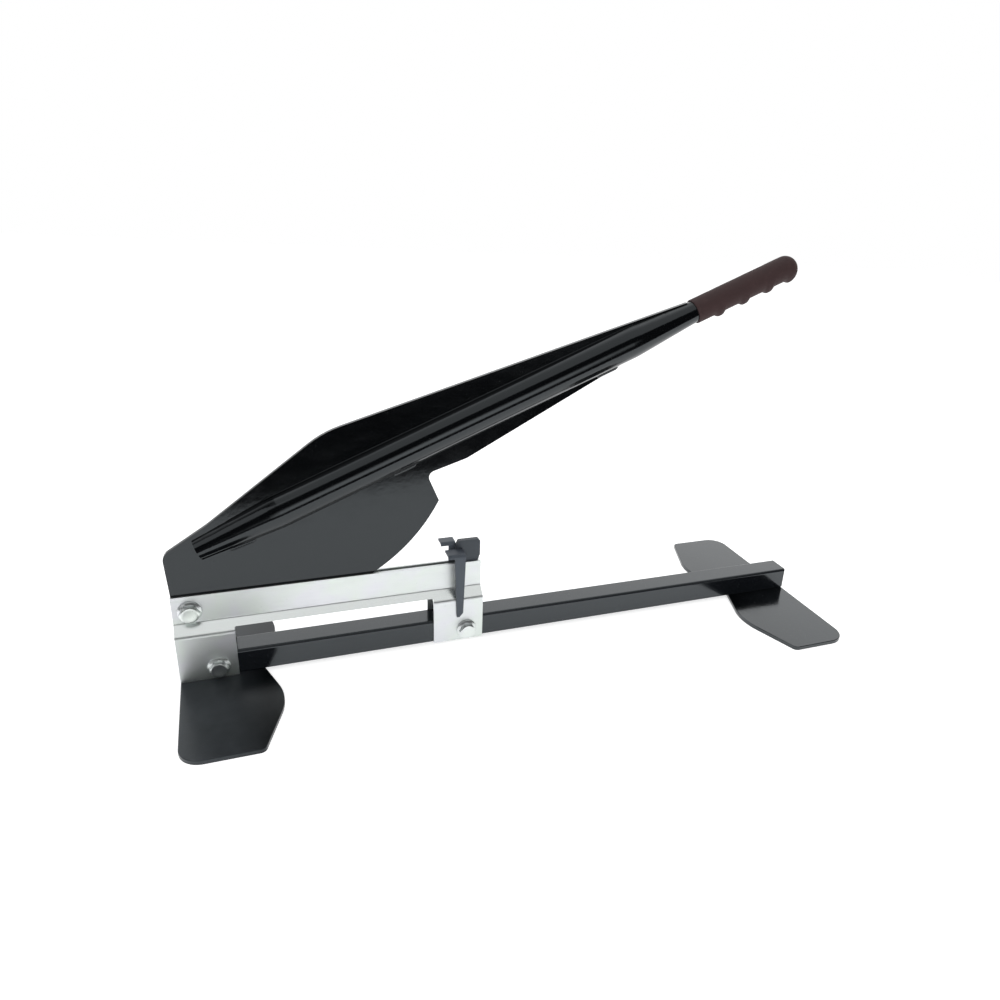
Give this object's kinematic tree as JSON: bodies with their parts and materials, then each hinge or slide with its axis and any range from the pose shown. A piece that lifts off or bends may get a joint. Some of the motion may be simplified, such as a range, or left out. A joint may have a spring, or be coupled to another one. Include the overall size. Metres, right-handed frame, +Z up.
{
  "type": "lever tile cutter",
  "caption": "Bench guillotine for tiles and slates: a curved blade plate with a long tube handle closes between slotted jaws on a square-tube base with flat feet.",
  "frame": {"origin": "on the floor, midway between the outer edges of the two feet, in the middle plane of the base tube", "axes": "+X along the base tube from the pivot end to the free end, +Y from the front (bolt heads) to the rear, +Z up"},
  "size_m": [0.6762, 0.2606, 0.3913],
  "materials": {
    "black_paint": "gloss black powder coat",
    "zinc_plate": "bright zinc plated sheet steel",
    "zinc_fasteners": "bright zinc plated fasteners",
    "bronze_bush": "plain sintered bronze",
    "grip_vinyl": "matte dark brown dipped vinyl"
  },
  "bodies": {
    "base": {"base_tube": "black_paint", "foot_welds": "black_paint", "front_guide": "black_paint", "front_jaw": "zinc_plate", "left_foot": "black_paint", "left_leg_bolt": "zinc_fasteners", "left_leg_nut": "zinc_fasteners", "left_leg_washer": "zinc_fasteners", "lever_stop": "black_paint", "pivot_bolt": "zinc_fasteners", "pivot_bush": "bronze_bush", "pivot_nut": "zinc_fasteners", "pivot_washer": "zinc_fasteners", "rear_guide": "black_paint", "rear_jaw": "zinc_plate", "right_foot": "black_paint", "right_leg_bolt": "zinc_fasteners", "right_leg_nut": "zinc_fasteners", "right_leg_washer": "zinc_fasteners"},
    "lever": {"lever_plate": "black_paint", "handle_tube": "black_paint", "handle_welds": "black_paint", "grip": "grip_vinyl"}
  },
  "joints": [
    {"name": "lever_pivot", "type": "hinge", "parent": "base", "child": "lever", "pos_m": [-0.3225, 0, 0.0725], "axis": [0, -1, 0], "range_deg": [-17.9, 60]}
  ]
}
